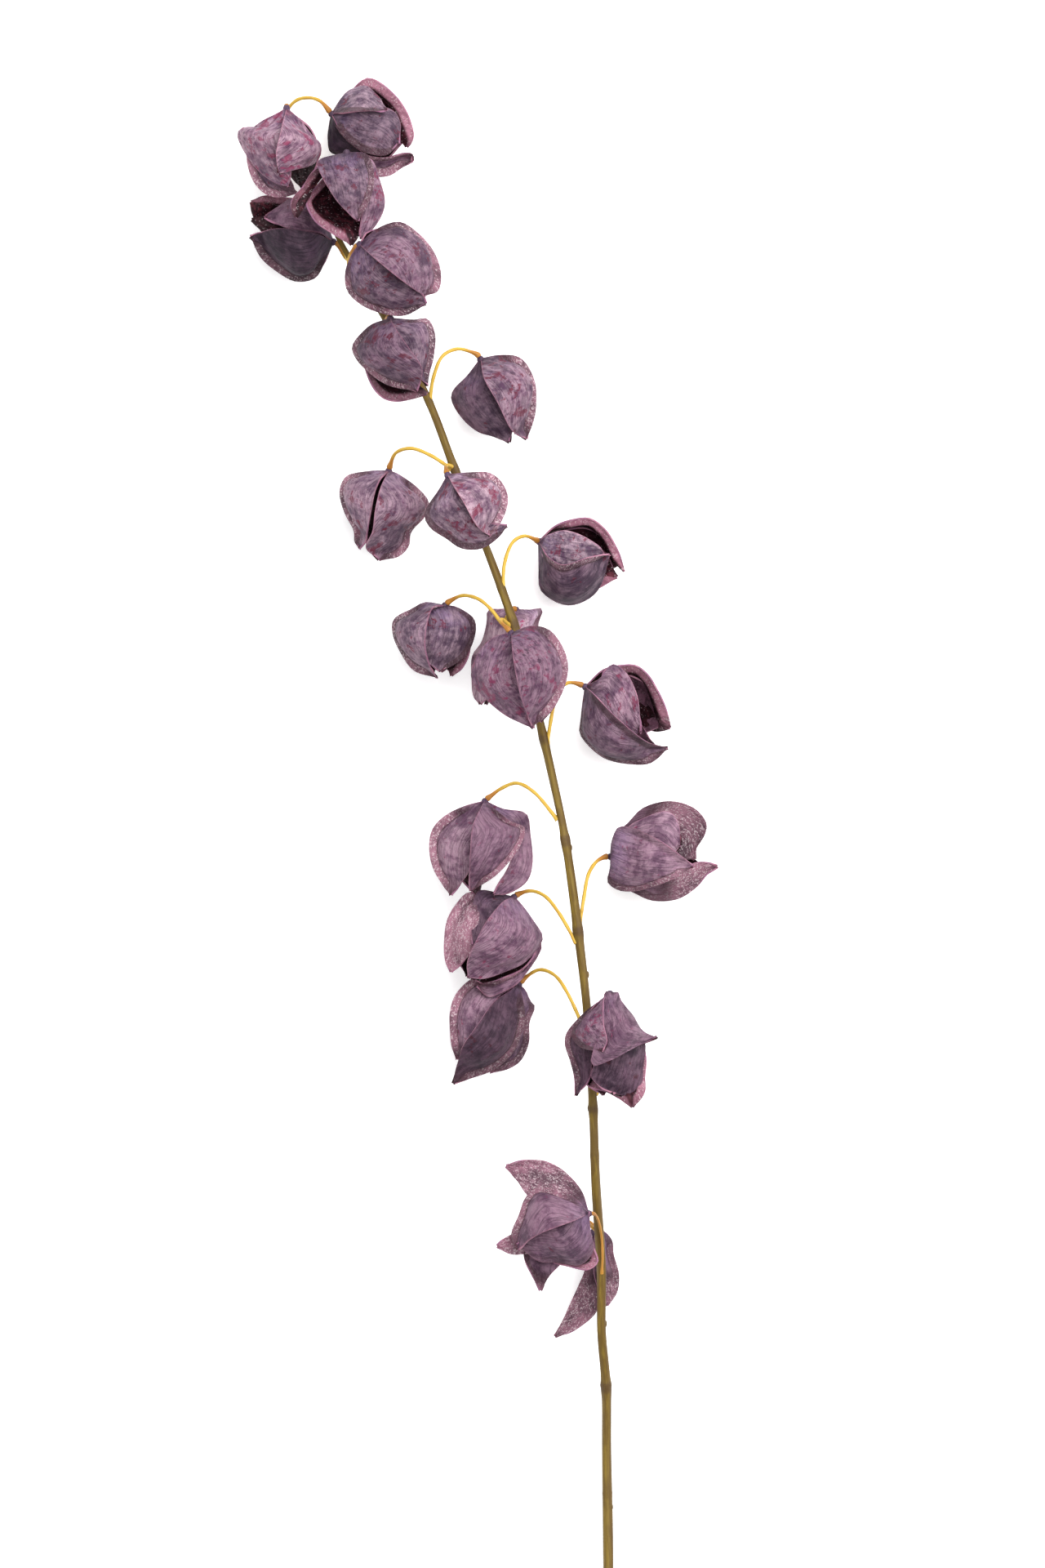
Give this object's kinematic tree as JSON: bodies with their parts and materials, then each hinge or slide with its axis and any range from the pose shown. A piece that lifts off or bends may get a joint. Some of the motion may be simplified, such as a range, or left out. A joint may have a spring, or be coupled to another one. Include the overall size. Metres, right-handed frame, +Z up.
{
  "type": "physalis stem",
  "caption": "Cut spray with a long curved stem, thin hooked stalks and globe-shaped lanterns of cupped, pointed purple petals, lying on a surface.",
  "frame": {"origin": "centre of the bounding box in plan, on the surface that the spray lies on", "axes": "+Y from the cut end of the stem to its tip, +Z up from the surface, +X to the right of the stem seen from above"},
  "size_m": [0.264, 1.0016, 0.101],
  "materials": {
    "stem": "coated olive brown with yellow-green and brown patches",
    "pedicel": "coated yellow, amber at the swollen end",
    "petal": "thick matt mauve sheet with crimson blotches, pink cut rims and sparkling woven margins"
  },
  "bodies": {
    "root": {"stem": "stem", "pedicel_01": "pedicel", "pedicel_02": "pedicel", "pedicel_03": "pedicel", "pedicel_04": "pedicel", "pedicel_05": "pedicel", "pedicel_06": "pedicel", "pedicel_07": "pedicel", "pedicel_08": "pedicel", "pedicel_09": "pedicel", "pedicel_10": "pedicel", "pedicel_11": "pedicel", "pedicel_12": "pedicel", "pedicel_13": "pedicel", "pedicel_14": "pedicel", "pedicel_15": "pedicel", "pedicel_16": "pedicel", "pedicel_17": "pedicel", "pedicel_18": "pedicel", "pedicel_19": "pedicel", "pedicel_20": "pedicel", "pedicel_21": "pedicel", "lantern_01": "petal", "lantern_02": "petal", "lantern_03": "petal", "lantern_04": "petal", "lantern_05": "petal", "lantern_06": "petal", "lantern_07": "petal", "lantern_08": "petal", "lantern_09": "petal", "lantern_10": "petal", "lantern_11": "petal", "lantern_12": "petal", "lantern_13": "petal", "lantern_14": "petal", "lantern_15": "petal", "lantern_16": "petal", "lantern_17": "petal", "lantern_18": "petal", "lantern_19": "petal", "lantern_20": "petal", "lantern_21": "petal"}
  },
  "joints": []
}
